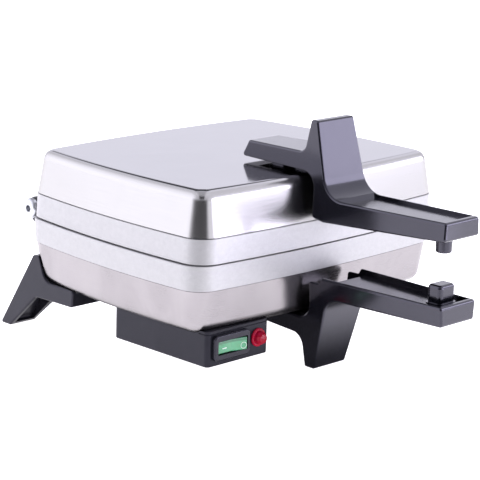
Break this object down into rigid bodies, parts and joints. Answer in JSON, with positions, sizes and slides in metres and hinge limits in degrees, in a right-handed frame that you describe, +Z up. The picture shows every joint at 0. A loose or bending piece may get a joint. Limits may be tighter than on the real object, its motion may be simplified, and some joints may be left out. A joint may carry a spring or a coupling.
{
  "type": "waffle maker",
  "caption": "Hinged electric waffle maker with cast grid plates, polished steel covers, black handles and legs, a rocker switch and a pilot lamp; the lid swings over to lie flat.",
  "frame": {"origin": "on the surface it stands on, under the middle of the closed object's box", "axes": "+Z up, -Y towards the handles, +Y towards the hinge, X across the body"},
  "size_m": [0.258, 0.356, 0.1828],
  "materials": {
    "steel_cover": "polished stamped stainless sheet with faint brushing",
    "cast_aluminium": "bead-blasted casting",
    "handle_black": "glossy moulded thermoset",
    "leg_black": "satin moulded thermoset",
    "box_black": "satin moulded",
    "switch_black": "satin gloss",
    "rocker_green": "translucent gloss",
    "lamp_red": "translucent gloss",
    "zinc_steel": "bright zinc plate",
    "lug_black": "satin black",
    "element_steel": "oxidised sheath",
    "reflector": "mill finish sheet",
    "thermostat_metal": "pressed cap",
    "fuse_sleeve": "braided sleeve",
    "terminal_white": "moulded",
    "brass": "rolled strip",
    "rubber_black": "moulded"
  },
  "bodies": {
    "base": {"base_cover": "steel_cover", "base_hinge_lugs": "lug_black", "base_lug_screws": "zinc_steel", "cord_bushing": "rubber_black", "fuse_clip": "zinc_steel", "hinge_bolts": "zinc_steel", "hinge_nuts": "zinc_steel", "lower_clamp_screws": "zinc_steel", "lower_element": "element_steel", "lower_element_clamps": "zinc_steel", "lower_handle": "handle_black", "lower_handle_screws": "zinc_steel", "lower_pillars": "zinc_steel", "lower_plate": "cast_aluminium", "lower_plate_screws": "zinc_steel", "lower_reflector": "reflector", "lower_stop_block": "handle_black", "pilot_lamp_body": "switch_black", "pilot_lamp_lens": "lamp_red", "pilot_lamp_nut": "switch_black", "rear_leg_left": "leg_black", "rear_leg_right": "leg_black", "rear_leg_screws": "zinc_steel", "switch_blades": "brass", "switch_box": "box_black", "switch_box_nuts": "zinc_steel", "switch_box_screws": "zinc_steel", "switch_housing": "switch_black", "terminal_block": "terminal_white", "thermal_fuse": "fuse_sleeve", "thermostat": "thermostat_metal", "wire_grommet": "rubber_black"},
    "lid": {"lid_cover": "steel_cover", "upper_plate": "cast_aluminium", "upper_element": "element_steel", "upper_element_clamps": "zinc_steel", "upper_clamp_screws": "zinc_steel", "upper_reflector": "reflector", "upper_plate_screws": "zinc_steel", "upper_pillars": "zinc_steel", "upper_handle": "handle_black", "upper_handle_screws": "zinc_steel", "upper_stop_peg": "handle_black", "lid_hinge_lugs": "lug_black", "lid_lug_screws": "zinc_steel"},
    "rocker": {"switch_rocker": "rocker_green"}
  },
  "joints": [
    {"name": "lid_hinge", "type": "hinge", "parent": "base", "child": "lid", "pos_m": [-0.00145, 0.161, 0.0916], "axis": [-1, 0, 0], "range_deg": [0, 180]},
    {"name": "rocker_tilt", "type": "hinge", "parent": "base", "child": "rocker", "pos_m": [-0.09415, -0.048, 0.0315], "axis": [0, 0, 1], "range_deg": [0, 14]}
  ]
}
